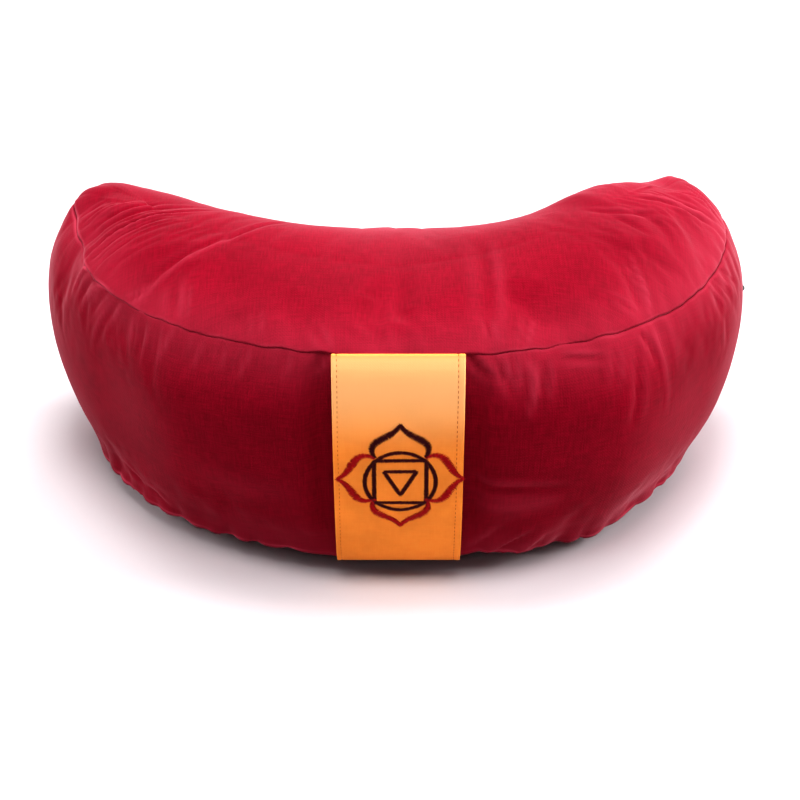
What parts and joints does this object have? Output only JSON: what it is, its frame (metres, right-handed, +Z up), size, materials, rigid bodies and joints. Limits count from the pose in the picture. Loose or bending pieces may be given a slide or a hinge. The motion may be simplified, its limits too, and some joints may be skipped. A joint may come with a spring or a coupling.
{
  "type": "crescent meditation cushion",
  "caption": "Filled crescent sitting cushion with a round front, two horns, a sewn cloth carry strap on the front and a small zip slider.",
  "frame": {"origin": "on the surface it rests on, under the middle of the overall box", "axes": "+X from horn to horn, to the right when facing the strap; +Y from the strap towards the horn tips; +Z up"},
  "size_m": [0.4361, 0.2502, 0.178],
  "materials": {
    "cover_cotton": "matte, closely woven, deep red",
    "strap_cotton": "matte, closely woven, orange",
    "slider_metal": "black, satin"
  },
  "bodies": {
    "root": {"cushion": "cover_cotton", "carry_strap": "strap_cotton", "zip_slider": "slider_metal"}
  },
  "joints": []
}
